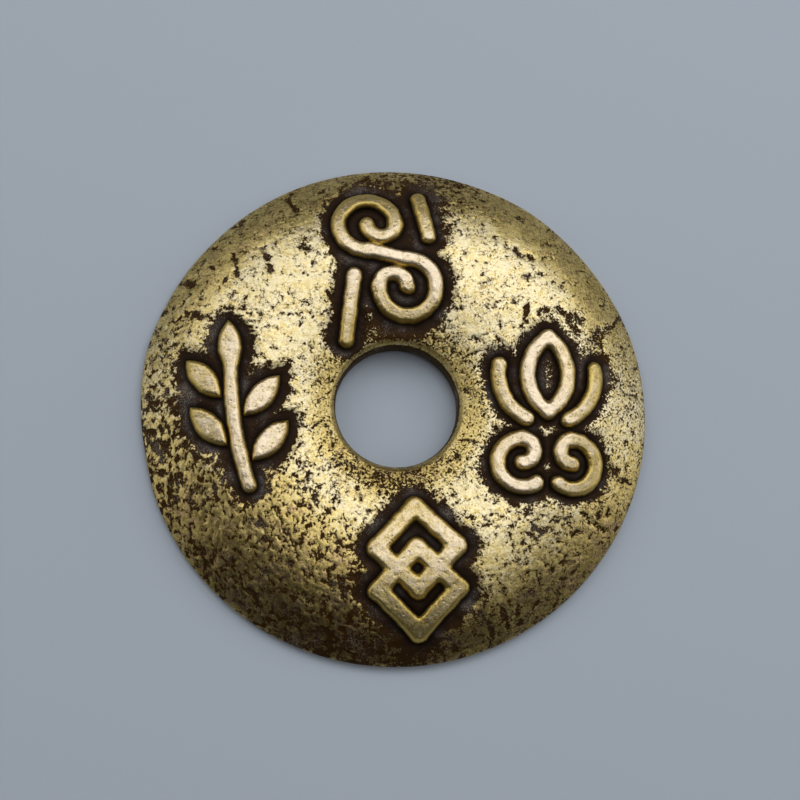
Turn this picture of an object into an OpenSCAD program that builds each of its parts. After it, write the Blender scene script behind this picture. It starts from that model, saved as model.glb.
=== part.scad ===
/* [Disc] */
// Outside diameter of the disc
token_d = 55; // [52:0.5:58]
// Height of the widest line of the edge above the back
edge_h = 1.0; // [0.8:0.05:1.1]
// Radius of the rounded edge
edge_round = 1.2; // [1.15:0.05:1.4]
// Diameter of the crest, the highest ring of the domed face
crest_d = 33.6; // [32:0.2:35]
// Height of the crest above the back
crest_h = 5.2; // [4.8:0.1:5.8]

/* [Hole] */
// Diameter of the straight land inside the hole
bore_d = 13.2; // [12:0.1:13.6]
// Diameter of the rim, where the hole opens into the domed face
rim_d = 14.1; // [13.8:0.1:14.4]
// Height of the rim above the back
rim_h = 3.6; // [3.2:0.1:3.8]
// Height at which the land ends and the hole starts to flare to the rim
land_top_h = 2.2; // [1.8:0.1:2.5]
// Height of the land's lower end, above the flare at the back
land_foot_h = 0.9; // [0.6:0.1:1.1]
// How much wider than the land the hole is at the back, on each side
back_flare = 0.5; // [0.3:0.05:0.7]

/* [Relief] */
// How far the ornaments stand above the domed face
relief_h = 0.45; // [0.3:0.05:0.6]
// How far the ground round the ornaments lies below the domed face
ground_depth = 0.35; // [0.2:0.05:0.45]
// Width of the sunk ground round each ornament
moat_w = 1.3; // [0.9:0.1:1.5]
// Width of the line in the cloud, the palmette and the stem of the sprig
line_w = 1.6; // [1.4:0.05:1.75]
// Width of the line in the lozenge knot
knot_line_w = 1.9; // [1.6:0.05:2.1]

/* [Cloud scroll, over the hole] */
// Place of the cloud scroll across the disc
cloud_x = -1.0; // [-1.5:0.1:-0.5]
// Place of the cloud scroll up the disc
cloud_y = 15.1; // [14.9:0.1:15.4]
// Turn of the cloud scroll
cloud_turn = 3; // [0:1:5]

/* [Palmette, right of the hole] */
// Place of the palmette across the disc
palmette_x = 16.0; // [15.5:0.1:16.5]
// Place of the palmette up the disc
palmette_y = -0.9; // [-1.5:0.1:-0.3]
// Turn of the palmette
palmette_turn = -2; // [-4:1:2]

/* [Lozenge knot, under the hole] */
// Place of the lozenge knot across the disc
knot_x = 1.9; // [1:0.1:2.5]
// Place of the lozenge knot up the disc
knot_y = -17.6; // [-17.8:0.1:-17]
// Turn of the lozenge knot
knot_turn = 2; // [-2:1:5]

/* [Leaf sprig, left of the hole] */
// Place of the leaf sprig across the disc
sprig_x = -17.2; // [-17.6:0.1:-16.8]
// Place of the leaf sprig up the disc
sprig_y = -0.5; // [-1:0.1:0]
// Turn of the leaf sprig
sprig_turn = 2; // [-2:1:4]

/* [Hidden] */

token_r = token_d / 2;
crest_r = crest_d / 2;
bore_r = bore_d / 2;
rim_r = rim_d / 2;
// Radius of an arc that leaves the crest level and drops by `drop` over `run`
function arc_radius(run, drop) = (run * run + drop * drop) / (2 * drop);
// The face is two arcs that meet level at the crest: one down to the rim, one down to the edge
inner_arc_r = arc_radius(crest_r - rim_r, crest_h - rim_h);
outer_arc_r = arc_radius(token_r - crest_r, crest_h - edge_h);
// Cutting tools and clipping boxes run this far past the disc
over = 8;
// A line's ends are a touch wider than the line, as the end of a chisel cut is
end_swell = 1.04;
// A leaf is this long and this wide, and its two sides are arcs
leaf_length = 5.6;
leaf_width = 2.5;

brass = [0.66, 0.55, 0.31];
rubbed_brass = [0.80, 0.70, 0.46];

// ---- sections that are turned about the Z axis ----

// Everything under the domed face, the face itself raised by `lift`
module under_face(lift) {
    intersection() {
        translate([crest_r, crest_h - inner_arc_r]) circle(inner_arc_r + lift, $fn = 360);
        translate([0, -over]) square([crest_r, crest_h + 2 * over]);
    }
    intersection() {
        translate([crest_r, crest_h - outer_arc_r]) circle(outer_arc_r + lift, $fn = 360);
        translate([crest_r, -over]) square([token_r + over - crest_r, crest_h + 2 * over]);
    }
}

// The flat back with its rounded edge, as a limit on the section
module edge_limit() {
    nose_r = token_r - edge_round;
    square([nose_r, crest_h + over]);
    intersection() {
        translate([nose_r, edge_h]) circle(edge_round, $fn = 96);
        translate([nose_r - edge_round, 0]) square([3 * edge_round, crest_h]);
    }
}

// The hole: a flare at the back, the straight land, and a longer flare up to the rim
module hole_section() {
    past = 1.3;
    polygon([[0, -1], [bore_r + back_flare, -1], [bore_r + back_flare, 0],
             [bore_r, land_foot_h], [bore_r, land_top_h],
             [bore_r + past * (rim_r - bore_r), land_top_h + past * (rim_h - land_top_h)],
             [bore_r + past * (rim_r - bore_r), crest_h + over], [0, crest_h + over]]);
}

module turned(fn = 180) { rotate_extrude($fn = fn) children(); }

// ---- lines that the ornaments are drawn with ----

module dot(at, d) { translate(at) circle(d = d, $fn = 40); }

// A straight line of width w with round ends
module stroke(from, to, w) {
    step = to - from;
    translate(from) rotate(atan2(step[1], step[0])) translate([0, -w / 2]) square([norm(step), w]);
    dot(from, w * end_swell);
    dot(to, w * end_swell);
}

// A curved line of width w about `at`, from angle a0 on to angle a1, with round ends
module bow(at, r, a0, a1, w) {
    corners = ceil((a1 - a0) / 60);
    reach = 3 * r;
    translate(at) intersection() {
        difference() {
            circle(r + w / 2, $fn = 96);
            if (r > w / 2) circle(r - w / 2, $fn = 96);
        }
        polygon(concat([[0, 0]], [for (i = [0:corners]) let (a = a0 + (a1 - a0) * i / corners)
                                  reach * [cos(a), sin(a)]]));
    }
    dot(at + r * [cos(a0), sin(a0)], w * end_swell);
    dot(at + r * [cos(a1), sin(a1)], w * end_swell);
}

// A leaf from its foot, pointing at angle a, grown by `grow` all round
module leaf(foot, a, grow) {
    side_r = arc_radius(leaf_length / 2, leaf_width / 2);
    translate(foot) rotate(a) translate([leaf_length / 2, 0]) intersection() {
        translate([0, side_r - leaf_width / 2]) circle(side_r + grow, $fn = 120);
        translate([0, leaf_width / 2 - side_r]) circle(side_r + grow, $fn = 120);
    }
}

// ---- outlines of the ornaments, each about its own middle, grown by `grow` all round ----

module cloud_scroll_outline(grow) {
    w = line_w + 2 * grow;
    big_r = 3.1;
    small_r = big_r / 2;
    low = [2.0, -2.4];
    high = [-2.0, 4.9];
    bow(low, big_r, -180, 90, w);
    bow(low - [small_r, 0], small_r, 0, 180, w);
    stroke(low + [0, big_r], high - [0, big_r], w);
    bow(high, big_r, 0, 270, w);
    bow(high + [small_r, 0], small_r, -180, 0, w);
}

module cloud_tail_upper_outline(grow) { stroke([4.6, 3.2], [3.9, 7.9], line_w + 2 * grow); }

module cloud_tail_lower_outline(grow) { stroke([-3.7, -0.9], [-4.9, -7.9], line_w + 2 * grow); }

module palmette_bud_outline(grow) {
    half_w = 2.2;
    half_h = 4.1;
    middle = 4.1;
    r = arc_radius(half_h, half_w);
    span = asin(half_h / r);
    bow([half_w - r, middle], r, -span, span, line_w + 2 * grow);
    bow([r - half_w, middle], r, 180 - span, 180 + span, line_w + 2 * grow);
}

module palmette_petal_outline(grow) { bow([-0.4, 4.2], 5.7, -62, 8, line_w + 2 * grow); }

module palmette_scroll_outline(grow) {
    big_r = 2.6;
    middle = [2.7, -5.6];
    bow(middle, big_r, -125, 90, line_w + 2 * grow);
    bow(middle + [0, big_r / 2], big_r / 2, 90, 270, line_w + 2 * grow);
}

module lozenge_knot_outline(grow) {
    half_w = 4.2;
    half_h = 4.35;
    for (side = [-1, 1]) {
        middle = [0, side * half_h / 2];
        tips = [[half_w, 0], [0, half_h], [-half_w, 0], [0, -half_h]];
        for (i = [0:3]) stroke(middle + tips[i], middle + tips[(i + 1) % 4], knot_line_w + 2 * grow);
    }
}

module sprig_stem_outline(grow) {
    bow([39.6, 3], 40, 177.5, 196.8, line_w - 0.1 + 2 * grow);
    leaf([-0.35, 3.7], 92, grow);
}

// Foot and direction of each side leaf of the sprig
low_right_leaf = [[1.75, -5.9], 48];
low_left_leaf = [[-0.95, -4.2], 132];
high_right_leaf = [[0.95, -1.1], 48];
high_left_leaf = [[-1.5, 0.9], 130];

module cloud_place() { translate([cloud_x, cloud_y]) rotate(cloud_turn) children(); }
module palmette_place() { translate([palmette_x, palmette_y]) rotate(palmette_turn) children(); }
module knot_place() { translate([knot_x, knot_y]) rotate(knot_turn) children(); }
module sprig_place() { translate([sprig_x, sprig_y]) rotate(sprig_turn) children(); }

// The sunk ground: every ornament's outline, grown by the moat
module ground_outline() {
    cloud_place() {
        cloud_scroll_outline(moat_w);
        cloud_tail_upper_outline(moat_w);
        cloud_tail_lower_outline(moat_w);
    }
    palmette_place() {
        palmette_bud_outline(moat_w);
        for (side = [0, 1]) mirror([side, 0]) {
            palmette_petal_outline(moat_w);
            palmette_scroll_outline(moat_w);
        }
    }
    knot_place() lozenge_knot_outline(moat_w);
    sprig_place() {
        sprig_stem_outline(moat_w);
        for (l = [low_right_leaf, low_left_leaf, high_right_leaf, high_left_leaf]) leaf(l[0], l[1], moat_w);
    }
}

// ---- sub-parts ----

// An ornament: its outline cut out of the layer between the sunk ground and the raised face
module relief() {
    color(rubbed_brass) intersection() {
        linear_extrude(crest_h + over) children();
        difference() {
            turned() under_face(relief_h);
            turned() under_face(-ground_depth);
        }
    }
}

module token_body() {
    color(brass) difference() {
        turned() difference() {
            intersection() {
                under_face(0);
                edge_limit();
            }
            hole_section();
        }
        difference() {
            linear_extrude(crest_h + over) ground_outline();
            turned() under_face(-ground_depth);
        }
    }
}

module cloud_scroll() { relief() cloud_place() cloud_scroll_outline(0); }
module cloud_tail_upper() { relief() cloud_place() cloud_tail_upper_outline(0); }
module cloud_tail_lower() { relief() cloud_place() cloud_tail_lower_outline(0); }
module palmette_bud() { relief() palmette_place() palmette_bud_outline(0); }
module palmette_petal(side) { relief() palmette_place() mirror([side, 0]) palmette_petal_outline(0); }
module palmette_scroll(side) { relief() palmette_place() mirror([side, 0]) palmette_scroll_outline(0); }
module lozenge_knot() { relief() knot_place() lozenge_knot_outline(0); }
module sprig_stem() { relief() sprig_place() sprig_stem_outline(0); }
module sprig_leaf(l) { relief() sprig_place() leaf(l[0], l[1], 0); }

token_body();
cloud_scroll();
cloud_tail_upper();
cloud_tail_lower();
palmette_bud();
palmette_petal(1);  // palmette_petal_left
palmette_petal(0);  // palmette_petal_right
palmette_scroll(1);  // palmette_scroll_left
palmette_scroll(0);  // palmette_scroll_right
lozenge_knot();
sprig_stem();
sprig_leaf(low_right_leaf);  // sprig_leaf_low_right
sprig_leaf(low_left_leaf);  // sprig_leaf_low_left
sprig_leaf(high_right_leaf);  // sprig_leaf_high_right
sprig_leaf(high_left_leaf);  // sprig_leaf_high_left
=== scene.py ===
# %% [markdown]
# # A holed charm disc, cast in brass
# The real object is one casting: a domed ring with a round hole, four raised ornaments, and dark age in every
# low place. The frame below is the plain design of it: one solid for the disc and one for each raised island.
# Bump maps on those solids would be quicker, but every outline would stay smooth. So each solid is replaced
# by a surface that is worked out with numpy, where lumps, pits and worn edges are real.

# %% Load the frame
import math

import bpy
import numpy as np
from mathutils import Matrix, Vector


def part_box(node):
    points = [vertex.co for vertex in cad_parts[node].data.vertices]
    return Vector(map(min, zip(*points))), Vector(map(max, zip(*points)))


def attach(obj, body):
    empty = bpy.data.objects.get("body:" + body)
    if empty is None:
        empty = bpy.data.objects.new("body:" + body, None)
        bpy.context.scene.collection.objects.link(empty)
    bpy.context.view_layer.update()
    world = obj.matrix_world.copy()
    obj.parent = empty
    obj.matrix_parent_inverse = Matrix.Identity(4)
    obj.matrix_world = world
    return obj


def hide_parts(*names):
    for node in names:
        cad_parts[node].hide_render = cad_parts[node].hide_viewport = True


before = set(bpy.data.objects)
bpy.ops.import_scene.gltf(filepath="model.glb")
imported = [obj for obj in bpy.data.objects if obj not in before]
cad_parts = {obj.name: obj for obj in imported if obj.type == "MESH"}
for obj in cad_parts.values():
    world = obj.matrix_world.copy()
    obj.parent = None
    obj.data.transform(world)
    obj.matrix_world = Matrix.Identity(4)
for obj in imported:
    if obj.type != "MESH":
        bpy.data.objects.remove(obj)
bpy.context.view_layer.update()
MM = 0.001

# %% [markdown]
# ## Camera
# The disc is seen almost from above, from a hand's length away, so the near side looks a little larger than
# the far one. Three typed angles could turn the camera, but a tilt, a turn and a distance are easier to read.
# The lens is aimed at the middle of the edge's plane, and a small shift places the disc in the view.

# %% Camera
EDGE_H = 1.0
VIEW_TILT = math.radians(12.83)
VIEW_TURN = math.radians(71.5)
VIEW_DISTANCE = 150.0
VIEW_SHIFT = (0.0055, 0.0121)
LENS_MM = 62.0
SENSOR_MM = 36.0


def add_camera():
    """A camera tilted from straight above, its own axes X and Y turned the shortest way with the tilt."""
    towards = Vector((-math.sin(VIEW_TILT) * math.cos(VIEW_TURN), -math.sin(VIEW_TILT) * math.sin(VIEW_TURN),
                      math.cos(VIEW_TILT)))
    turn = Vector((0, 0, 1)).rotation_difference(towards)
    data = bpy.data.cameras.new("camera")
    data.sensor_width = SENSOR_MM
    data.lens = LENS_MM
    data.shift_x, data.shift_y = VIEW_SHIFT
    data.clip_start = 0.01
    camera = bpy.data.objects.new("camera", data)
    place = Vector((0, 0, EDGE_H)) + towards * VIEW_DISTANCE
    camera.matrix_world = Matrix.Translation(place * MM) @ turn.to_matrix().to_4x4()
    bpy.context.collection.objects.link(camera)
    bpy.context.scene.camera = camera
    return camera


camera = add_camera()
print("camera at", [round(v, 4) for v in camera.location])

# %% [markdown]
# ## Noise
# Cast metal is never even. Gradient noise gives smooth random hills: every corner of a lattice has a random
# slope, and the slopes are blended between the corners. Several layers, each finer and weaker, look natural.
# Blender's own noise functions take one point at a time, so the formula is written out here for whole arrays.

# %% Noise


def scramble(i, j, k, seed):
    """A random-looking 32-bit number for each lattice corner: products with odd numbers, folded over."""
    h = (i.astype(np.uint32) * np.uint32(374761393) + j.astype(np.uint32) * np.uint32(668265263)
         + k.astype(np.uint32) * np.uint32(2147483647) + np.uint32(seed * 7919 + 13))
    h = (h ^ (h >> np.uint32(13))) * np.uint32(1274126177)
    h = (h ^ (h >> np.uint32(16))) * np.uint32(2246822519)
    return h ^ (h >> np.uint32(13))


def gradient_noise(p, seed):
    """Sum over the 8 lattice corners of (slope . offset) * blend, with blend = 6t^5 - 15t^4 + 10t^3."""
    corner = np.floor(p).astype(np.int64)
    part = p - corner
    blend = part ** 3 * (part * (part * 6 - 15) + 10)
    total = np.zeros(p.shape[:-1])
    for dx in (0, 1):
        for dy in (0, 1):
            for dz in (0, 1):
                step = np.array([dx, dy, dz])
                h = scramble(corner[..., 0] + dx, corner[..., 1] + dy, corner[..., 2] + dz, seed)
                bits = [(h >> np.uint32(s)) & np.uint32(1023) for s in (0, 10, 20)]
                slope = np.stack(bits, -1) / 511.5 - 1
                weight = np.prod(np.where(step == 1, blend, 1 - blend), -1)
                total += weight * np.sum(slope * (part - step), -1)
    return total * 1.4


def layered_noise(p, size, layers, seed, gain=0.5):
    """Noise of `size` mm plus `layers` - 1 finer layers, each half the size and `gain` as strong."""
    total = np.zeros(p.shape[:-1])
    strength = 1.0
    for layer in range(layers):
        total += strength * gradient_noise(p * (2 ** layer / size) + 17.3 * layer, seed + layer)
        strength *= gain
    return total


def smooth(low, high, x):
    """0 at `low`, 1 at `high`, and 3t^2-2t^3 between them; it falls where `low` is the larger."""
    t = np.clip((x - low) / (high - low), 0, 1)
    return t * t * (3 - 2 * t)


def on_plane(x, y):
    """Points with z = 0, for noise that has to be the same at every height."""
    return np.stack([x, y, np.zeros_like(x)], -1)


def polar(x, y):
    """Distance from the axis, and angle in degrees."""
    return np.hypot(x, y), np.degrees(np.arctan2(y, x))


print("noise sample:", gradient_noise(np.array([[0.3, 0.7, 0.1]]), 1).round(3))

# %% [markdown]
# ## The face
# In section the face is two arcs that meet level at the crest, one falling to the hole and one to the edge.
# A drawn curve could hold that, but a formula also gives the height at any radius, and everything raised or
# sunk is measured from it.

# %% The face in section
disc_low, disc_high = (np.array(v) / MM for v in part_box("token_body"))
TOKEN_R = disc_high[0]
CREST_R = 16.8
CREST_H = 5.2
RIM_R = 7.05
RIM_H = 3.6
BORE_R = 6.6
LAND_TOP = 2.2
LAND_FOOT = 0.9
BACK_FLARE = 0.5
GROUND_DEPTH = 0.35
RELIEF_H = 0.45
MOAT_W = 1.05


def arc_radius(run, drop):
    """Radius of an arc that starts level and drops by `drop` over `run`: (run^2 + drop^2) / (2 drop)."""
    return (run * run + drop * drop) / (2 * drop)


INNER_ARC = arc_radius(CREST_R - RIM_R, CREST_H - RIM_H)
OUTER_ARC = arc_radius(TOKEN_R - CREST_R, CREST_H - EDGE_H)


def face_height(r):
    """Height of the plain face at distance r from the axis: crest - R + sqrt(R^2 - (r - crest radius)^2)."""
    arc = np.where(r < CREST_R, INNER_ARC, OUTER_ARC)
    return CREST_H - arc + np.sqrt(np.maximum(arc ** 2 - (r - CREST_R) ** 2, 0))


print("face heights at rim, crest, edge:", face_height(np.array([RIM_R, CREST_R, TOKEN_R])).round(2))

# %% [markdown]
# ## The ornaments as distances
# A raised line could be a thick curve, but where two of them meet they would only pass through each other.
# It is easier to shape when every point knows how far it is from the line's side. So each ornament is a short
# list of straight lines, bows and leaves, and one function per kind gives that distance, negative inside.
# Where two lines join, the distances are blended, as wax flows together in a joint.

# %% Distances to lines, bows and leaves
LINE_W = 1.6
KNOT_LINE_W = 1.9
LEAF_LENGTH = 5.6
LEAF_WIDTH = 2.5
JOINT_BLEND = 0.35


def from_line(x, y, start, end, width):
    """Distance to a straight line with round ends: to the nearest of its points, less half the width."""
    sx, sy = end[0] - start[0], end[1] - start[1]
    t = np.clip(((x - start[0]) * sx + (y - start[1]) * sy) / (sx * sx + sy * sy), 0, 1)
    return np.hypot(x - start[0] - t * sx, y - start[1] - t * sy) - width / 2


def from_bow(x, y, centre, r, a0, a1, width):
    """Distance to a bow from angle a0 to a1: |distance from centre - r| in its span, else to an end."""
    px, py = x - centre[0], y - centre[1]
    middle, half = math.radians((a0 + a1) / 2), math.radians((a1 - a0) / 2)
    off = np.abs((np.arctan2(py, px) - middle + math.pi) % (2 * math.pi) - math.pi)
    ends = [np.hypot(px - r * math.cos(math.radians(a)), py - r * math.sin(math.radians(a)))
            for a in (a0, a1)]
    return np.where(off <= half, np.abs(np.hypot(px, py) - r), np.minimum(*ends)) - width / 2


def from_leaf(x, y, foot, angle):
    """Distance to a leaf between two equal arcs: the larger of the distances to its two side circles."""
    a = math.radians(angle)
    u = (x - foot[0]) * math.cos(a) + (y - foot[1]) * math.sin(a) - LEAF_LENGTH / 2
    v = -(x - foot[0]) * math.sin(a) + (y - foot[1]) * math.cos(a)
    side = arc_radius(LEAF_LENGTH / 2, LEAF_WIDTH / 2)
    offset = side - LEAF_WIDTH / 2
    round_side = np.maximum(np.hypot(u, v + offset), np.hypot(u, v - offset)) - side
    tip = np.hypot(np.abs(u) - LEAF_LENGTH / 2, v)
    return np.where(np.abs(u) > LEAF_LENGTH / 2, np.maximum(round_side, tip * 0.9), round_side)


def joined(a, b):
    """The smaller of two distances, with the corner between them filled over the joint's blend."""
    h = np.clip(0.5 + 0.5 * (b - a) / JOINT_BLEND, 0, 1)
    return b + (a - b) * h - JOINT_BLEND * h * (1 - h)


beside = from_line(0, LINE_W / 2 + 0.5, (-1, 0), (1, 0), LINE_W)
print("distance at half a millimetre beside a line:", round(float(beside), 3))

# %% [markdown]
# ## The four ornaments
# A cloud scroll over the hole, a palmette on its right, a knot of two lozenges under it and a leaf sprig on
# its left. They are ornaments of no particular meaning. Drawn outlines would need hundreds of points, while
# lines of one width, in millimetres about the ornament's own middle, hold the same shapes in a few rows.

# %% The lines of each island
ISLANDS = {
    "cloud_scroll": ("cloud", [
        ("bow", (2.0, -2.4), 3.1, -180, 90, LINE_W), ("bow", (0.45, -2.4), 1.55, 0, 180, LINE_W),
        ("line", (2.0, 0.7), (-2.0, 1.8), LINE_W),
        ("bow", (-2.0, 4.9), 3.1, 0, 270, LINE_W), ("bow", (-0.45, 4.9), 1.55, -180, 0, LINE_W)]),
    "cloud_tail_upper": ("cloud", [("line", (4.6, 3.2), (3.9, 7.9), LINE_W)]),
    "cloud_tail_lower": ("cloud", [("line", (-3.7, -0.9), (-4.9, -7.9), LINE_W)]),
    "palmette_bud": ("palmette", [
        ("bow", (-2.72, 4.1), 4.92, -56.4, 56.4, LINE_W),
        ("bow", (2.72, 4.1), 4.92, 123.6, 236.4, LINE_W)]),
    "palmette_petal_left": ("palmette", [("bow", (0.4, 4.2), 5.7, 172, 242, LINE_W)]),
    "palmette_petal_right": ("palmette", [("bow", (-0.4, 4.2), 5.7, -62, 8, LINE_W)]),
    "palmette_scroll_left": ("palmette", [
        ("bow", (-2.7, -5.6), 2.6, 90, 305, LINE_W), ("bow", (-2.7, -4.3), 1.3, -90, 90, LINE_W)]),
    "palmette_scroll_right": ("palmette", [
        ("bow", (2.7, -5.6), 2.6, -125, 90, LINE_W), ("bow", (2.7, -4.3), 1.3, 90, 270, LINE_W)]),
    "lozenge_knot": ("knot", [
        ("line", (side_x * 4.2, side_y * 2.175), (0, side_y * 2.175 + tip), KNOT_LINE_W)
        for side_y in (-1, 1) for side_x in (-1, 1) for tip in (-4.35, 4.35)]),
    "sprig_stem": ("sprig", [
        ("bow", (39.6, 3.0), 40.0, 177.5, 196.8, LINE_W - 0.1), ("leaf", (-0.35, 3.7), 92)]),
    "sprig_leaf_low_right": ("sprig", [("leaf", (1.75, -5.9), 48)]),
    "sprig_leaf_low_left": ("sprig", [("leaf", (-0.95, -4.2), 132)]),
    "sprig_leaf_high_right": ("sprig", [("leaf", (0.95, -1.1), 48)]),
    "sprig_leaf_high_left": ("sprig", [("leaf", (-1.5, 0.9), 130)]),
}
TURNS = {"cloud": 3, "palmette": -2, "knot": 2, "sprig": 2}
DISTANCE_OF = {"line": from_line, "bow": from_bow, "leaf": from_leaf}


def own_distance(name, x, y):
    """Distance to one island in its ornament's own millimetres, all its lines joined."""
    total = None
    for kind, *shape in ISLANDS[name][1]:
        one = DISTANCE_OF[kind](x, y, *shape)
        total = one if total is None else joined(total, one)
    return total


print("islands:", len(ISLANDS), "in", len(TURNS), "ornaments")

# %% Place each ornament by its solids
SCAN = np.arange(-11, 11, 0.05)


def ornament_places():
    """Middle of each ornament: the middle of its solids' box, less the middle of its turned outline's box."""
    u, v = np.meshgrid(SCAN, SCAN)
    places = {}
    for ornament, turn in TURNS.items():
        names = [n for n in ISLANDS if ISLANDS[n][0] == ornament]
        boxes = np.array([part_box(n) for n in names]) / MM
        solid_middle = (boxes[:, 0].min(0) + boxes[:, 1].max(0))[:2] / 2
        a = math.radians(turn)
        own_u, own_v = u * math.cos(a) + v * math.sin(a), -u * math.sin(a) + v * math.cos(a)
        inside = np.min([own_distance(n, own_u, own_v) for n in names], axis=0) < 0
        outline_middle = [(u[inside].min() + u[inside].max()) / 2, (v[inside].min() + v[inside].max()) / 2]
        places[ornament] = (solid_middle - outline_middle, a)
    return places


PLACES = ornament_places()
for ornament, (middle, _) in PLACES.items():
    print(ornament, "stands at", middle.round(2))


def island_distance(name, x, y):
    """Distance to an island from points on the disc, moved and turned into the ornament's own axes."""
    middle, a = PLACES[ISLANDS[name][0]]
    px, py = x - middle[0], y - middle[1]
    return own_distance(name, px * math.cos(a) + py * math.sin(a), -px * math.sin(a) + py * math.cos(a))


# %% [markdown]
# ## The disc
# The disc is one closed surface: a section carried round the axis. The section starts in the hole, climbs
# over the rim, follows the face to the edge, and comes back along the flat back. A Screw modifier could carry
# it round, but here each point is also pushed in or out along the section's own normal: broad lumps from the
# mould, the sunk ground round the ornaments, and pits.

# %% The disc's section
AROUND = 640
RINGS = 150
FINE_STEPS = 4000
EASE = 32
BACK_DENSITY = 0.1
HOLE_DENSITY = 0.85


def section_points():
    """The closed section as evenly spread points: its corners, then eased by a running mean along it."""
    face_r = np.linspace(RIM_R + 0.1, TOKEN_R - 0.02, 400)
    face = np.stack([face_r, face_height(face_r)], 1)
    edge = np.array([[TOKEN_R + 0.10, EDGE_H - 0.15], [TOKEN_R - 0.25, 0.3], [TOKEN_R - 0.9, 0.0]])
    back = np.array([[BORE_R + BACK_FLARE, 0.0]])
    hole = np.array([[BORE_R, LAND_FOOT], [BORE_R, LAND_TOP], [BORE_R + 0.12, LAND_TOP + 0.8]])
    corners = np.concatenate([hole, face, edge, back, hole[:1]])
    run = np.concatenate([[0], np.cumsum(np.hypot(*np.diff(corners, axis=0).T))])
    fine = np.linspace(0, run[-1], FINE_STEPS + 1)[:-1]
    line = np.stack([np.interp(fine, run, corners[:, c]) for c in (0, 1)], 1)
    ease = np.hanning(2 * EASE + 1)
    ease /= ease.sum()
    return np.stack([np.convolve(np.concatenate([line[-EASE:, c], line[:, c], line[:EASE, c]]), ease, "valid")
                     for c in (0, 1)], 1)


def disc_section():
    """Rings for the mesh: close together on the face, wider apart in the hole and on the back."""
    line = section_points()
    step = np.hypot(*(np.roll(line, -1, 0) - line).T)
    on_face = (line[:, 0] > RIM_R + 0.1) & (line[:, 1] > EDGE_H + 0.1)
    on_back = line[:, 1] < 0.05
    density = np.where(on_face, 1.0, np.where(on_back, BACK_DENSITY, HOLE_DENSITY))
    run = np.concatenate([[0], np.cumsum(density * step)])
    at = np.interp(np.linspace(0, run[-1], RINGS + 1)[:-1], run, np.arange(len(run)))
    closed = np.append(line, line[:1], 0)
    pick = np.stack([np.interp(at, np.arange(len(closed)), closed[:, c]) for c in (0, 1)], 1)
    along = np.roll(pick, -1, 0) - np.roll(pick, 1, 0)
    normal = np.stack([-along[:, 1], along[:, 0]], 1) / np.hypot(*along.T)[:, None]
    return pick, normal


section, section_normal = disc_section()
print("rings:", len(section), "triangles:", 2 * len(section) * AROUND)

# %% [markdown]
# ## Age, wear and painted light
# On the real disc, handling keeps the crest bright, while age stays in the pits, in the sunk ground, by the
# hole and low on the dome. It could be painted on by hand. Here it is a sum of patches, each with an angle and
# a radius, so that one row of a table is one aged, worn or shaded place, and it can be moved or weakened by
# itself. The pale crest is partly a painted highlight, and the dark low on the dome, most at the bottom and
# round the edge, is partly painted shade and dark reflection.

# %% Patches by angle and radius
ALL_ROUND = math.inf
# Bulges and flats of the edge: how far in mm, at which angle, and over which half width in degrees
EDGE_BULGES = ((0.20, 167, 8), (-0.17, 191, 9), (-0.10, 35, 12), (-0.10, 135, 12), (0.10, 57, 9))


def bump(a, middle, width):
    """A smooth bump in angle a (degrees) of the given half width: exp(-((a - middle) / width)^2)."""
    off = np.abs((a - middle + 180) % 360 - 180)
    return np.exp(-(off / width) ** 2)


def patch_sum(patches, r, angle):
    """Sum over the rows of amount * bump in angle * smooth step in radius."""
    return sum(amount * bump(angle, middle, width) * smooth(start, full, r)
               for amount, middle, width, start, full in patches)


def outline_error(angle):
    """How far the hand-cast edge leaves a true circle, in mm: its bulges and flats, and three broad waves."""
    bulges = sum(amount * bump(angle, middle, width) for amount, middle, width in EDGE_BULGES)
    return bulges + 0.05 * np.sin(np.radians(3 * angle + 40))


print("the edge leaves a true circle by", np.abs(outline_error(np.arange(360))).max().round(2), "mm at most")

# %% Shares of age, polish and painted light
# Rows: amount, angle, half width, and the radii in mm where the patch sets in and where it is full
# The rows from 22 mm outwards, at the bottom and all round, paint shade and dark reflection as well as age.
AGED_AND_SHADED = (
    (0.20, 0, ALL_ROUND, 11.5, 8.5), (-0.12, -170, 30, 12.5, 9.0), (0.14, -100, 35, 12.5, 9.0),
    (-0.16, 0, 40, 12.5, 9.0), (0.15, 62, 20, 12.5, 9.0), (0.55, 92, 24, 11.0, 9.0),
    (-0.06, 50, 25, 0.0, 1.0), (0.06, -58, 20, 0.0, 1.0), (0.16, 184, 26, 13.0, 20.0),
    (0.20, -97, 22, 13.0, 20.0), (0.14, 0, 30, 13.0, 16.0), (-0.14, 0, 30, 22.0, 25.5),
    (0.42, 84, 14, 18.0, 22.0), (0.20, -100, 42, 22.0, 25.5), (0.06, 0, ALL_ROUND, 23.5, 26.0),
)
DULLED = ((0.72, -132, 36, 12.5, 16.0), (0.60, -92, 26, 15.5, 18.5), (0.15, -48, 26, 16.5, 20.0))
# The rows from 21 mm outwards, at the bottom and the lower right edge, paint shade and dark reflection as
# brown.
BROWNED_AND_SHADED = (
    (0.05, 15, 45, 12.5, 9.0), (0.50, -100, 50, 12.5, 9.0), (0.30, -95, 48, 21.0, 26.0),
    (0.30, -33, 22, 24.5, 26.5),
)


def dark_share(x, y):
    """Share of the skin that is dark, 0-1, from age, and low on the dome from painted shade: a tenth, plus the
    patches, plus noise of 5 mm.
    """
    share = 0.10 + patch_sum(AGED_AND_SHADED, *polar(x, y))
    return np.clip(share + 0.12 * layered_noise(on_plane(x, y), 5.0, 3, 21), 0.0, 1.0)


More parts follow.
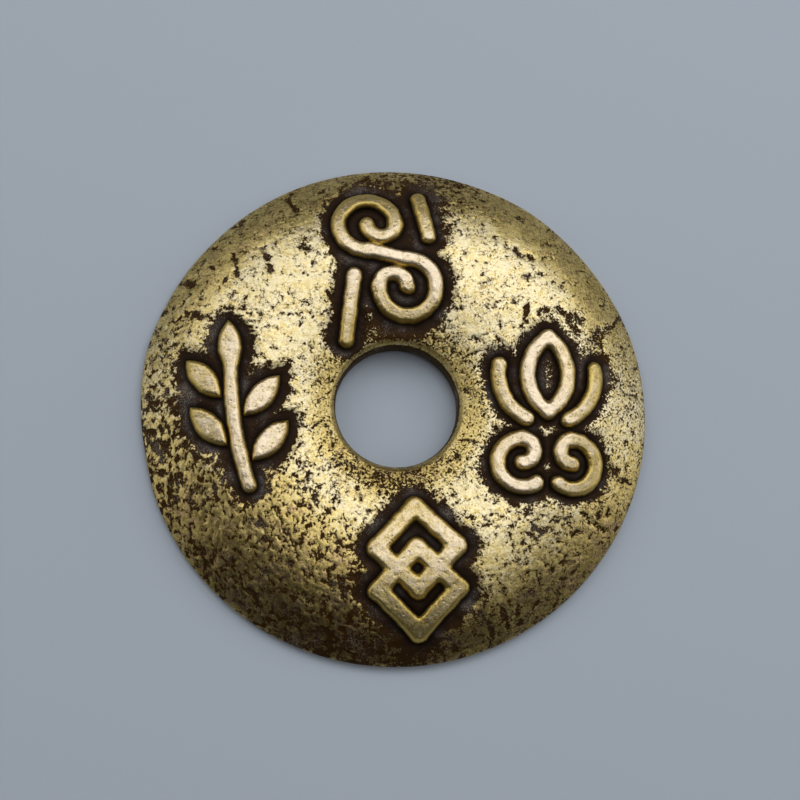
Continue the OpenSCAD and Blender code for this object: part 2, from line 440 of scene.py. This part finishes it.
def polish_and_light_share(x, y):
    """How pale the skin is, 1 at most on the crest and -0.8 at least where browned: rubbed wear with a painted
    highlight on the crest, and painted shade and dark reflection low on the dome.
    """
    r, angle = polar(x, y)
    # The outer band of the dome is painted darker, as shade and dark reflection, except at the left and right;
    # the paler crest is partly a painted highlight.
    lit_edge = 0.8 * bump(angle, 176, 20) + bump(angle, 0, 18)
    crest = (0.35 + 0.65 * smooth(8.0, 10.5, r)) * (1 - 0.8 * smooth(21.0, 24.5, r) * (1 - lit_edge))
    dull = patch_sum(DULLED, r, angle)
    brown_and_shade = patch_sum(BROWNED_AND_SHADED, r, angle)
    return np.clip(crest * (1 - np.clip(dull, 0, 1)) - 0.22 * dull - brown_and_shade, -0.8, 1)


probe = np.array([8.0, 17.0, 27.0])
print("age by the hole, on the crest, at the edge:", dark_share(probe, 0 * probe).round(2))

# %% [markdown]
# ## Pits, nicks and cracks
# The casting has scattered pits, a few long nicks from use, and on its coarse side a net of fine cracks.
# Balls could be cut out of the solid, but there are thousands of pits. A lattice with at most one pit in each
# cell gives them all at once. The nicks are few and each has its own place, so they are a list of lines.

# %% Scattered pits


def pits(x, y, cell, share, seed, slimness=0.5, radial=False):
    """Depth 0-1 of scattered long pits, 1.25 - stretched distance, turned at random or towards the hole."""
    depth = np.zeros_like(x)
    for dx in (-1, 0, 1):
        for dy in (-1, 0, 1):
            i, j = np.floor(x / cell).astype(np.int64) + dx, np.floor(y / cell).astype(np.int64) + dy
            rand = [(scramble(i, j, j * 0 + n, seed) & np.uint32(65535)) / 65535.0 for n in range(6)]
            px, py = x - (i + rand[0]) * cell, y - (j + rand[1]) * cell
            a = np.arctan2(j + 0.5, i + 0.5) + 0.7 * (rand[2] - 0.5) if radial else rand[2] * math.pi
            length = cell * (0.16 + 0.30 * rand[3] ** 2)
            width = length * (0.35 + 0.5 * rand[4]) * 2 * slimness
            u, v = (px * np.cos(a) + py * np.sin(a)) / length, (-px * np.sin(a) + py * np.cos(a)) / width
            depth = np.maximum(depth, np.where(rand[5] < share, np.clip(1.25 - np.hypot(u, v), 0, 1), 0))
    return depth


trial = np.meshgrid(SCAN, SCAN)
print("pitted share of a plain patch:", (pits(*trial, 1.3, 0.5, 61) > 0).mean().round(3))

# %% Nicks and cracks


# Old nicks, creases and patches of deep pits: start, end, width, and how dark, in mm on the face
SCARS = (
    ((-27.4, -2.0), (-25.0, -5.6), 0.45, 1.15), ((25.2, 10.6), (23.4, 8.8), 0.4, 1.15),
    ((23.4, 8.8), (21.6, 7.8), 1.0, 0.8),
    ((-17.7, 16.6), (-17.2, 13.9), 0.35, 1.15), ((-14.4, 17.3), (-13.7, 14.5), 0.5, 1.15),
    ((-11.7, 23.3), (-10.8, 21.6), 0.4, 1.15), ((-10.3, 17.4), (-9.4, 17.0), 0.9, 0.7),
    ((-22.7, 13.9), (-22.2, 13.5), 0.9, 0.9), ((-22.3, 9.8), (-21.6, 9.7), 0.9, 0.9),
    ((13.7, 14.1), (14.5, 14.5), 0.4, 1.2), ((14.1, 10.7), (13.8, 9.0), 0.5, 1.3),
    ((19.5, 10.0), (20.0, 9.5), 1.1, 0.8), ((13.2, 17.6), (13.3, 16.5), 0.3, 1.2),
    ((12.0, 17.9), (12.2, 17.6), 0.5, 1.1), ((14.8, 16.7), (14.9, 16.4), 0.5, 1.2),
    ((15.2, 10.0), (16.4, 10.4), 0.5, 1.0), ((17.6, 10.6), (18.6, 9.9), 0.6, 1.1),
    ((18.8, 9.4), (19.6, 8.0), 0.8, 0.9), ((22.6, 8.6), (21.6, 7.2), 1.1, 0.9),
    ((22.3, 7.0), (23.0, 4.2), 0.6, 0.8),
    ((13.9, -13.1), (15.0, -14.0), 0.35, 1.1), ((14.8, -16.4), (15.4, -17.2), 0.3, 1.1),
    ((20.3, -12.6), (22.2, -13.3), 0.4, 1.1), ((19.4, -11.7), (20.4, -12.2), 0.35, 1.1),
    ((22.9, -6.6), (24.0, -7.0), 0.3, 1.1), ((24.0, -7.8), (25.4, -8.2), 0.3, 1.2),
    ((11.1, -22.1), (11.6, -23.5), 0.35, 1.3), ((12.5, -21.9), (13.1, -23.2), 0.35, 1.3),
    ((9.5, -23.2), (9.9, -24.4), 0.35, 1.3),
)
CRACK_WIDTH = 0.12


def scars(x, y):
    """Darkness of the nicks and patches: full within each line's width, with a soft side of 0.25 mm."""
    lines = [(1 - smooth(-0.1, 0.15, from_line(x, y, *line))) * dark for *line, dark in SCARS]
    return np.max(lines, axis=0)


def cracks(q, size, seed):
    """A net of fine lines, 0-1: 1 - |warped noise| / crack width, so highest where the noise is zero."""
    warp = [0.4 * size * layered_noise(q, size, 3, seed + n) for n in (0, 3)]
    warped = q + np.stack(warp + [0 * warp[0]], -1)
    return 1 - np.clip(np.abs(layered_noise(warped, size, 3, seed + 5)) / CRACK_WIDTH, 0, 1)


print("nicks and creases:", len(SCARS))

# %% [markdown]
# ## Relief of the face
# All that the mould and the years did to the face becomes one push along its normal: lumps, the sunk ground,
# pits and cracks. The same fields could be drawn again in the material. Instead they ride on the points as
# marks, one number each, so that colour follows shape exactly.

# %% The coarse side and all hollows
COARSE_ANGLE = -128
FLOW_ACROSS = 1.5
FLOW_ALONG = 20.0
PIT_DEPTH = 0.12


def nearest_island(x, y):
    """Distance to the nearest raised island of all."""
    return np.min([island_distance(n, x, y) for n in ISLANDS], axis=0)


def coarse_share(r, angle):
    """How coarse and flaked the casting is, 0-1: most at the lower left, and none near the hole."""
    coarse = bump(angle, COARSE_ANGLE, 40) + 0.35 * bump(angle, 185, 35) + 0.35 * bump(angle, -45, 30)
    return np.clip(coarse, 0, 1) * smooth(10.0, 15.0, r)


def hollows(x, y, age_and_shade, coarse):
    """The cracks alone, and the deepest of pits, slits towards the hole, cracks, flakes and nicks."""
    p = on_plane(x, y)
    r, angle = polar(x, y)
    across = FLOW_ACROSS * r
    along = FLOW_ALONG * np.radians((angle - COARSE_ANGLE + 180) % 360 - 180)
    flow = on_plane(across, along)
    crack = np.maximum(cracks(flow, 1.9, 45), 0.5 * cracks(flow, 1.1, 145)) * smooth(0.15, 0.75, coarse)
    wx, wy = (0.22 * layered_noise(p, 0.7, 3, seed) for seed in (51, 57))
    large = pits(x + wx, y + wy, 1.3, 0.10 + 0.7 * age_and_shade, 61)
    small = pits(x + wx, y + wy, 0.75, 0.10 + 0.6 * age_and_shade, 67)
    slits = pits(x + 0.4 * wx, y + 0.4 * wy, 2.3, 0.12 + 0.5 * age_and_shade, 73, 0.16, radial=True)
    flakes = pits(across + 1.2 * wx, along + 1.2 * wy, 1.3, 0.85 * coarse, 79, 0.6)
    nicks = scars(x + 1.4 * wx, y + 1.4 * wy)
    return crack, np.max([large, 0.8 * small, slits, 1.5 * crack, 1.3 * flakes, nicks], axis=0)


print("coarse share round the edge:", coarse_share(TOKEN_R, np.array([-128, -45, 0, 90, 180])).round(2))

# %% Push and marks of the face


def face_relief(x, y):
    """Push = lumps - sunk ground - pits, in mm, weak at the rim and the edge; and the marks for the skin."""
    p = on_plane(x, y)
    r, angle = polar(x, y)
    island = nearest_island(x, y)
    distance = island + 0.32 * layered_noise(p, 2.0, 4, 5, 0.6) + 0.25 * bump(angle, -12, 38)
    ground = 1 - smooth(MOAT_W - 0.75, MOAT_W + 0.85, distance)
    near = 1 - smooth(MOAT_W, MOAT_W + 1.8, distance)
    coarse = coarse_share(r, angle)
    age_and_shade = dark_share(x, y) + 0.24 * near - 0.16 * coarse
    crack, hollow = hollows(x, y, age_and_shade, coarse)
    lumps = 0.05 * layered_noise(p, 4.2, 2, 31) + 0.02 * (1 - 0.6 * coarse) * layered_noise(p, 0.8, 2, 43)
    lumps -= 0.06 * crack ** 2
    sunk = GROUND_DEPTH * ground * (1 + 0.12 * layered_noise(p, 1.6, 2, 71))
    pitted = PIT_DEPTH * np.minimum(hollow, 1) * (1 - 0.7 * ground) * (1 - 0.5 * coarse)
    keep = smooth(RIM_R + 0.3, RIM_R + 1.2, r) * (1 - smooth(TOKEN_R - 1.0, TOKEN_R - 0.2, r))
    push = (lumps - sunk - pitted) * keep + 0.3 * lumps * (1 - keep)
    lip = smooth(RIM_R, RIM_R + 0.35, r)
    fineness = np.clip(bump(angle, 0, 45) + 0.6 * (1 - smooth(9.0, 12.0, r)), 0, 1) - 0.5 * coarse
    # The foot mark paints contact shade, together with patina, round each island's foot.
    marks = {"ground": ground, "foot": 1 - smooth(0.1, 0.75, island), "age_and_shade": age_and_shade * lip,
             "pitted": hollow * lip, "polish_and_light": polish_and_light_share(x, y), "fineness": fineness, "coarse": coarse}
    return push, marks


print("push on the crest in mm:", face_relief(np.array([[CREST_R]]), np.zeros((1, 1)))[0].round(3))

# %% The whole disc


def disc_surface():
    """Every ring of the section carried round the axis and pushed along its normal, and its marks."""
    angle = np.linspace(0, 360, AROUND, endpoint=False)
    ca, sa = np.cos(np.radians(angle)), np.sin(np.radians(angle))
    r, z = section[:, 0, None], section[:, 1, None]
    spread = r * (1 + outline_error(angle)[None] * smooth(20.0, TOKEN_R, r) / TOKEN_R)
    x, y = spread * ca, spread * sa
    on_face = smooth(-0.1, 0.35, section_normal[:, 1])[:, None] * np.ones_like(x)
    push, marks = face_relief(x, y)
    p = np.stack([x, y, z + 0 * x], -1)
    back_push = 0.03 * layered_noise(p, 2.2, 3, 81) - 0.05 * pits(x, y, 1.5, 0.35, 83)
    hole_push = 0.03 * layered_noise(p, 1.4, 3, 91)
    is_back = (section[:, 1] < 0.3)[:, None]
    push = np.where(is_back, np.minimum(back_push, 0.0), on_face * push + (1 - on_face) * hole_push)
    nr, nz = section_normal[:, 0, None], section_normal[:, 1, None]
    points = np.stack([x + push * nr * ca, y + push * nr * sa, z + push * nz], -1)
    points[..., 2] = np.maximum(points[..., 2], 0.0)
    # The bore's wall below the lip, where shade is painted.
    bore_wall_shade = (section[:, 0] < RIM_R + 0.6) & (section[:, 1] > 0.3)
    bore_wall_shade = (bore_wall_shade * (1 - smooth(0.15, 0.5, section_normal[:, 1])))[:, None]
    marks = {name: mark * on_face for name, mark in marks.items()}
    back_ring = smooth(17.0, 25.0, spread)
    back_age = 0.75 + 0.5 * layered_noise(p, 8.0, 3, 87) - 0.55 * back_ring
    back_age = back_age + 0.3 * (1 - smooth(8.0, 11.0, spread))
    # Painted shade: the bore's wall is made dark through this mark, on top of the age of the hole and the
    # back.
    marks["age_and_shade"] = marks["age_and_shade"] + (1 - on_face) * np.where(is_back, back_age, 0.45) + 3.0 * bore_wall_shade
    marks["polish_and_light"] = marks["polish_and_light"] + (1 - on_face) * np.where(is_back, 0.5 * back_ring - 0.1, 0.2)
    return points, marks


disc_points, disc_marks = disc_surface()
print("disc height in mm:", disc_points[..., 2].min().round(3), "to", disc_points[..., 2].max().round(3))

# %% [markdown]
# ## From arrays to a mesh
# A mesh could be built vertex by vertex, but foreach_set takes a whole array in one call. The marks become
# attributes, one number per point, and a material reads them by name.

# %% Make a mesh from arrays

def make_piece(name, points, faces, marks, node):
    """A mesh object from points in mm, quads as corner numbers, and a number per point for each mark."""
    mesh = bpy.data.meshes.new(name)
    mesh.vertices.add(len(points))
    mesh.vertices.foreach_set("co", (points * MM).astype(np.float32).ravel())
    mesh.loops.add(faces.size)
    mesh.loops.foreach_set("vertex_index", faces.astype(np.int32).ravel())
    mesh.polygons.add(len(faces))
    mesh.polygons.foreach_set("loop_start", np.arange(0, faces.size, 4, dtype=np.int32))
    mesh.update(calc_edges=True)
    for mark, values in marks.items():
        layer = mesh.attributes.new(mark, "FLOAT", "POINT")
        layer.data.foreach_set("value", values.astype(np.float32).ravel())
    mesh.shade_smooth()
    piece = bpy.data.objects.new(name, mesh)
    bpy.context.collection.objects.link(piece)
    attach(piece, "root")
    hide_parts(node)
    return piece


def ring_faces(rings, around):
    """Quads of a surface that closes on itself both ways: ring i to i + 1 and step j to j + 1."""
    i, j = np.meshgrid(np.arange(rings), np.arange(around), indexing="ij")
    ni, nj = (i + 1) % rings, (j + 1) % around
    return np.stack([i * around + j, ni * around + j, ni * around + nj, i * around + nj], -1).reshape(-1, 4)


disc_faces = ring_faces(len(section), AROUND)
disc = make_piece("disc_casting", disc_points.reshape(-1, 3), disc_faces, disc_marks, "token_body")
print("disc polygons:", len(disc.data.polygons))

# %% [markdown]
# ## The raised islands
# Across a line, the relief is a flat, rubbed top, a rounded shoulder and a steep side that dips under the
# ground. A bevelled solid would have the same section everywhere. Here an island is a fine grid over its box,
# and the height is a function of the distance to the line's side, with ragged sides and a few dents. Cells
# that lie well outside are left out, and a lower layer and a wall round the rest close it.

# %% An island's surface
CELL = 0.06
SHOULDER = 0.56
SHOULDER_DROP = 0.36
SIDE_SLOPE = 4.5
MARGIN = 0.22
BOX_REACH = 0.4
ROOT_DEPTH = 0.75
RUBBED_R = 15.5


def relief_profile(distance):
    """Height over the face: level inside, falling by drop * q^2.8 over the shoulder, then straight down."""
    q = np.clip(1 + distance / SHOULDER, 0, 1)
    return RELIEF_H - SHOULDER_DROP * q ** 2.8 - SIDE_SLOPE * np.maximum(distance, 0)


def island_surface(name):
    """Grids of place, top, bottom and distance, and the cells whose four corners are inside the margin."""
    (low, high) = (np.array(v)[:2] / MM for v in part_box(name))
    xs = np.arange(low[0] - BOX_REACH, high[0] + BOX_REACH, CELL)
    ys = np.arange(low[1] - BOX_REACH, high[1] + BOX_REACH, CELL)
    x, y = np.meshgrid(xs, ys, indexing="ij")
    p = on_plane(x, y)
    ragged = 0.075 * layered_noise(p, 1.5, 4, 101, 0.65) + 0.06 * layered_noise(p, 3.2, 1, 107)
    distance = island_distance(name, x, y) + ragged
    face = face_height(np.hypot(x, y))
    dents = 0.03 * layered_noise(p, 0.9, 3, 111, 0.6) + 0.045 * layered_noise(p, 3.0, 1, 113)
    small = pits(x, y, 0.5, 0.25, 117)
    height = face + relief_profile(distance) + dents - 0.05 * small * smooth(0.1, -0.3, distance)
    bottom = face - GROUND_DEPTH - ROOT_DEPTH
    inside = distance < MARGIN
    cells = inside[:-1, :-1] & inside[1:, :-1] & inside[:-1, 1:] & inside[1:, 1:]
    return x, y, height, bottom, cells, distance


def closed_island(name):
    """The points in use, the top quads, the same quads turned over below, and a wall quad per open side."""
    x, y, height, bottom, cells, distance = island_surface(name)
    rows, cols = x.shape
    number = np.arange(rows * cols).reshape(rows, cols)
    i, j = np.nonzero(cells)
    top = np.stack([number[i, j], number[i + 1, j], number[i + 1, j + 1], number[i, j + 1]], -1)
    padded = np.pad(cells, 1)
    walls = []
    for di, dj, first, last in ((-1, 0, 3, 0), (1, 0, 1, 2), (0, -1, 0, 1), (0, 1, 2, 3)):
        open_side = ~padded[i + 1 + di, j + 1 + dj]
        a, b = top[open_side, first], top[open_side, last]
        walls.append(np.stack([b, a, a + rows * cols, b + rows * cols], -1))
    faces = np.concatenate([top, top[:, ::-1] + rows * cols] + walls)
    points = np.concatenate([np.stack([x, y, level], -1).reshape(-1, 3) for level in (height, bottom)])
    used, faces = np.unique(faces, return_inverse=True)
    r, angle = polar(x, y)
    # Paler tops near the crest and less at the bottom: rubbed wear and a painted highlight.
    rubbed_and_lit = np.exp(-((r - RUBBED_R) / 5.0) ** 2) * (1 - 0.5 * bump(angle, -90, 35))
    marks = {"side": np.tile(distance.ravel(), 2)[used], "rubbed_and_lit": np.tile(rubbed_and_lit.ravel(), 2)[used]}
    return points[used], faces.reshape(-1, 4), marks


def make_island(name):
    """One island's piece, in the place of its solid."""
    points, faces, marks = closed_island(name)
    piece = make_piece(name + "_relief", points, faces, marks, name)
    return piece

islands = [make_island(name) for name in ISLANDS]
print("island polygons:", {p.name: len(p.data.polygons) for p in islands})

# %% [markdown]
# ## Shader maths in plain expressions
# A mask is a sum of noises, and in the node editor it would be a chain of Math nodes. A wrapped socket lets
# it be written as an expression, and the wrapper adds those nodes.

# %% Sockets that can be added and multiplied


class Field:
    """One socket of a node tree, with the usual operators: each adds a Math node and gives a new Field."""

    def __init__(self, tree, socket):
        self.tree, self.socket = tree, socket

    def math(self, operation, other):
        """A Math node on this socket and another value."""
        node = self.tree.nodes.new("ShaderNodeMath")
        node.operation = operation
        for number, value in enumerate((self, other)):
            connect(self.tree, node.inputs[number], value)
        return Field(self.tree, node.outputs[0])

    def __add__(self, other):
        return self.math("ADD", other)

    __radd__ = __add__

    def __mul__(self, other):
        return self.math("MULTIPLY", other)

    __rmul__ = __mul__

    def __sub__(self, other):
        return self.math("SUBTRACT", other)

    def __rsub__(self, other):
        return (self * -1.0) + other

    def __pow__(self, other):
        return self.math("POWER", other)


def connect(tree, socket, value):
    """Links a Field, or sets a plain number or colour."""
    if isinstance(value, Field):
        tree.links.new(value.socket, socket)
    else:
        socket.default_value = value
print("a field has:", [name.strip("_") for name in vars(Field) if callable(vars(Field)[name])])

# %% A material's recipe
class Recipe:
    """A material's node tree, with one method that makes any node."""

    def __init__(self, name):
        self.material = bpy.data.materials.new(name)
        self.material.use_nodes = True
        self.tree = self.material.node_tree
        self.shader = self.tree.nodes["Principled BSDF"]

    def node(self, kind, settings=None, output=0, **values):
        """A node of the given type: its settings first, then the values or links of its sockets by name."""
        node = self.tree.nodes.new(kind)
        for key, value in (settings or {}).items():
            setattr(node, key, value)
        for key, value in values.items():
            connect(self.tree, node.inputs[key.replace("_", " ")], value)
        return Field(self.tree, node.outputs[output])

    def mark(self, name):
        """The number that rides on the points under this name."""
        settings = {"attribute_name": name, "attribute_type": "GEOMETRY"}
        return self.node("ShaderNodeAttribute", settings, output="Fac")

    def place(self, shift=(0, 0, 0)):
        """Object coordinates, moved by `shift` metres."""
        here = self.node("ShaderNodeTexCoord", output="Object")
        return self.node("ShaderNodeMapping", Vector=here, Location=shift)

    def noise(self, size_mm, detail=2.0, roughness=0.5, distortion=0.0, shift=(0, 0, 0)):
        """Noise 0-1 of the given feature size."""
        return self.node("ShaderNodeTexNoise", Vector=self.place(shift), Scale=1 / (size_mm * MM),
                         Detail=detail, Roughness=roughness, Distortion=distortion)

    def ramp(self, value, low, high):
        """A smooth step of a value, 0 at `low` and 1 at `high`."""
        settings = {"interpolation_type": "SMOOTHSTEP"}
        return self.node("ShaderNodeMapRange", settings, Value=value, From_Min=low, From_Max=high)

    def blend(self, factor, first, second):
        """A colour between two colours."""
        node = self.tree.nodes.new("ShaderNodeMix")
        node.data_type = "RGBA"
        for number, value in ((0, factor), (6, first), (7, second)):
            connect(self.tree, node.inputs[number], value)
        return Field(self.tree, node.outputs[2])

    def height(self, value, depth_mm, **normal):
        """A normal from a height field `depth_mm` deep in all, over another normal if one is given."""
        return self.node("ShaderNodeBump", Height=value, Distance=depth_mm * MM, **normal)

    def finish(self, **values):
        """Sets the shader's own sockets by name, and gives the finished material."""
        for key, value in values.items():
            connect(self.tree, self.shader.inputs[key.replace("_", " ")], value)
        return self.material


print("a recipe has:", [name.strip("_") for name in vars(Recipe) if callable(vars(Recipe)[name])])
# %% [markdown]
# ## Aged brass
# Old cast brass is two things at once: a bright, rubbed skin on whatever stands high, and near-black age in
# whatever lies low. Two plain colours with one mask would look painted. So one noise field plays the fine
# height of the casting, and where it falls under a threshold there is a pit, dark and lower. The threshold
# comes from the marks on the mesh: high in the sunk ground, and higher where the skin is aged or pitted, and
# where shade is painted, in the bore and low on the dome. The pale skin on the crest is partly a painted
# highlight, the slate in the ground a painted sheen and its grey specks painted glints.
# comes from the marks on the mesh: high in the sunk ground, and higher where the skin is aged or pitted.

# %% Aged brass of the disc
# The pale skin is rubbed metal, and on the crest a painted highlight as well.
PALE = (0.93, 0.82, 0.54, 1)
GOLD = (0.74, 0.575, 0.20, 1)
OLIVE = (0.47, 0.35, 0.105, 1)
RUSSET = (0.46, 0.31, 0.16, 1)
BROWN = (0.27, 0.168, 0.070, 1)
TARNISH = (0.20, 0.13, 0.045, 1)
PIT = (0.046, 0.0205, 0.004, 1)
GROUND = (0.025, 0.0145, 0.010, 1)
# A painted sheen on the dark ground.
SLATE_SHEEN = (0.062, 0.052, 0.050, 1)
# Near-black patina with painted contact shade at the islands' feet.
FOOT_PATINA_AND_SHADE = (0.007, 0.003, 0.0015, 1)
# The grey of painted glints in the dark ground.
GLINT_SPECKS = (0.22, 0.19, 0.155, 1)
GLINT = (1.0, 0.85, 0.66, 1)
COAT_ROUGHNESS = 0.35


def aged_brass():
    """Skin where the grain is over the threshold, and the dark of age, with painted shade in places, where it
    is under it, each with its own colours.
    """
    brass = Recipe("aged_brass_skin")
    ground, age_and_shade, pitted = brass.mark("ground"), brass.mark("age_and_shade"), brass.mark("pitted")
    polish_and_light, fineness = brass.mark("polish_and_light"), brass.mark("fineness")
    broad = brass.noise(3.0, detail=3, roughness=0.55)
    coarse = brass.noise(0.75, detail=6, roughness=0.66, distortion=0.35)
    fine = brass.noise(0.24, detail=3, roughness=0.6)
    sand = brass.noise(0.13, detail=2, roughness=0.6)
    grain = coarse * (0.7 - fineness * 0.4) + fine * (0.3 + fineness * 0.4) + (sand - 0.5) * 0.12
    threshold = 0.394 + age_and_shade * 0.20 + (broad - 0.5) * 0.12 + pitted * 0.14 + (ground ** 2.0) * 0.32
    low = brass.ramp(threshold - grain, -0.026, 0.018)
    mottling = brass.ramp(brass.noise(1.6, detail=4, roughness=0.6), 0.35, 0.68)
    patches = brass.noise(0.5, detail=3, roughness=0.6, shift=(0.3, 0.1, 0.2))
    tone = polish_and_light * 0.7 + (mottling - 0.5) * 0.3 + (patches - 0.5) * 1.2
    tone = tone + (fine - 0.5) * 1.5 + (sand - 0.5) * 1.2 + 0.2
    hue = brass.noise(1.1, detail=3, roughness=0.6, shift=(0.7, 0.2, 0.5))
    skin = brass.blend(brass.ramp(hue, 0.44, 0.60), OLIVE, RUSSET)
    # Where the tone is low the skin is brown: tarnish in patches, and low on the dome painted shade.
    skin = brass.blend(brass.ramp(tone, -0.7, 0.1), BROWN, skin)
    skin = brass.blend(brass.ramp(tone, 0.0, 0.5), skin, GOLD)
    # Where the tone is high the skin turns pale: rubbed metal, and on the crest a painted highlight.
    skin = brass.blend(brass.ramp(tone, 0.42, 1.2), skin, PALE)
    skin = brass.blend(brass.ramp(threshold - grain, -0.10, 0.0) * 0.6, skin, TARNISH)
    # The dark ground, with a painted sheen in broad patches.
    dark = brass.blend(ground, PIT, brass.blend(brass.ramp(broad, 0.46, 0.66), GROUND, SLATE_SHEEN))
    # Painted glints: grey specks in the dark ground, fewer by the islands' feet.
    sparkle = brass.ramp(sand + (broad - 0.5) * 0.7 - brass.mark("foot") * 0.2, 0.59, 0.71)
    dark = brass.blend(sparkle * 0.8, dark, GLINT_SPECKS)
    # Near-black at the islands' feet: patina and painted contact shade.
    dark = brass.blend(brass.mark("foot"), dark, FOOT_PATINA_AND_SHADE)
    colour = brass.blend(low, skin, dark)
    rough = 0.33 + mottling * 0.08 + (fine - 0.5) * 0.3 + low * 0.16
    flat = 1.0 - brass.mark("coarse") * 0.7
    normal = brass.height(brass.ramp(grain - threshold, -0.05, 0.012) * flat, 0.06)
    normal = brass.height(brass.noise(0.45, detail=5, roughness=0.65) * flat, 0.06, Normal=normal)
    normal = brass.height(sand, 0.03, Normal=normal)
    return brass.finish(Specular_IOR_Level=0.1, Specular_Tint=GLINT, Coat_Roughness=COAT_ROUGHNESS,
                        Base_Color=colour, Roughness=rough, Metallic=1.0 - low * 0.6, Normal=normal,
                        Coat_Weight=0.2 - low * 0.2)


disc.data.materials.append(aged_brass())
print("nodes of the aged brass:", len(disc.data.materials[0].node_tree.nodes))

# %% Rubbed brass of the islands
# Pale tops: rubbed metal with a painted sheen.
RUBBED_SHEEN = (0.86, 0.725, 0.54, 1)
DULL = (0.58, 0.44, 0.15, 1)
# Honey sides, darkened as painted shade on the shoulders.
HONEY = (0.66, 0.48, 0.12, 1)


def rubbed_brass():
    """Pale tops, rubbed and with a painted sheen, honey sides with painted shade, and dark feet of patina and
    painted contact shade, by the distance to the line's side.
    """
    brass = Recipe("rubbed_brass_skin")
    side = brass.mark("side")
    fine = brass.noise(0.16, detail=4, roughness=0.65)
    soft = brass.noise(0.9, detail=4, roughness=0.6)
    # Painted shade on the shoulders, less near the crest.
    edge = brass.ramp(side + (soft - 0.5) * 0.5 - brass.mark("rubbed_and_lit") * 0.3, -0.75, -0.15)
    # Painted contact shade, with patina, where the island dips under the ground.
    foot = brass.ramp(side + (fine - 0.5) * 0.12, -0.02, 0.10)
    specks = brass.ramp(fine * 0.6 + soft * 0.4, 0.44, 0.37)
    shine = soft * 0.4 + fine * 0.6 + brass.mark("rubbed_and_lit") * 0.16
    top = brass.blend(brass.ramp(shine, 0.46, 0.69), DULL, RUBBED_SHEEN)
    colour = brass.blend(edge, top, HONEY)
    colour = brass.blend(specks * 0.6, colour, TARNISH)
    colour = brass.blend(foot, colour, FOOT_PATINA_AND_SHADE)
    rough = 0.40 + (fine - 0.5) * 0.4
    normal = brass.height(fine, 0.03)
    normal = brass.height(soft, 0.05, Normal=normal)
    return brass.finish(Specular_IOR_Level=0.2, Specular_Tint=GLINT, Coat_Roughness=COAT_ROUGHNESS,
                        Base_Color=colour, Roughness=rough, Metallic=1.0 - foot * 0.8, Normal=normal,
                        Coat_Weight=0.2 - foot * 0.2)


rubbed_and_lit = rubbed_brass()
for piece in islands:
    piece.data.materials.append(rubbed_and_lit)
print("materials:", [material.name for material in bpy.data.materials])

# %% [markdown]
# ## Floor and light
# A pale floor and soft boxes round and over the disc. One sun would give hard, black shadows, and metal shows
# what it reflects, so the boxes are large and one side is left darker. The world is dim, and only the camera
# sees it pale.

# %% Floor and light
FLOOR_R = 0.35
FLOOR_SIDES = 96
LAMP_DISTANCE = 0.5
LAMP_SIZE = 0.28
WORLD_LIGHT = 0.04
WORLD_SEEN = 0.40


def add_floor():
    """A round sheet of pale paint, only as wide as the lamps can light."""
    paint = Recipe("floor_paint").finish(Base_Color=(0.50, 0.56, 0.64, 1), Roughness=0.8)
    mesh = bpy.data.meshes.new("floor")
    around = [2 * math.pi * n / FLOOR_SIDES for n in range(FLOOR_SIDES)]
    rim = [(FLOOR_R * math.cos(a), FLOOR_R * math.sin(a), 0) for a in around]
    mesh.from_pydata(rim, [], [tuple(range(FLOOR_SIDES))])
    floor = bpy.data.objects.new("floor", mesh)
    mesh.materials.append(paint)
    bpy.context.collection.objects.link(floor)


def add_softbox(name, azimuth, elevation, power):
    """A square soft light that looks at the disc from the given direction, in degrees."""
    a, e = math.radians(azimuth), math.radians(elevation)
    place = Vector((math.cos(e) * math.cos(a), math.cos(e) * math.sin(a), math.sin(e))) * LAMP_DISTANCE
    data = bpy.data.lights.new(name, "AREA")
    data.size = LAMP_SIZE
    data.energy = power
    light = bpy.data.objects.new(name, data)
    light.matrix_world = Matrix.Translation(place) @ place.to_track_quat("Z", "Y").to_matrix().to_4x4()
    bpy.context.collection.objects.link(light)


add_floor()
# Azimuth and elevation in degrees, and power in watts
SOFTBOXES = {
    "high_box": (45, 80, 0.35),
    "back_box": (90, 62, 0.28),
    "back_right_box": (45, 42, 0.52),
    "back_left_box": (135, 42, 0.44),
    "right_box": (0, 20, 0.38),
    "left_box": (180, 20, 0.29),
    "front_box": (315, 62, 0.16),
}
for name, box in SOFTBOXES.items():
    add_softbox(name, *box)
print("soft boxes:", len(SOFTBOXES), "total watts:", round(sum(box[2] for box in SOFTBOXES.values()), 2))
world = bpy.data.worlds.new("studio")
world.use_nodes = True
background = world.node_tree.nodes["Background"]
background.inputs["Color"].default_value = (0.78, 0.84, 0.94, 1)
seen = Field(world.node_tree, world.node_tree.nodes.new("ShaderNodeLightPath").outputs["Is Camera Ray"])
connect(world.node_tree, background.inputs["Strength"], seen * (WORLD_SEEN - WORLD_LIGHT) + WORLD_LIGHT)
bpy.context.scene.world = world
bpy.context.scene.view_settings.view_transform = "Standard"
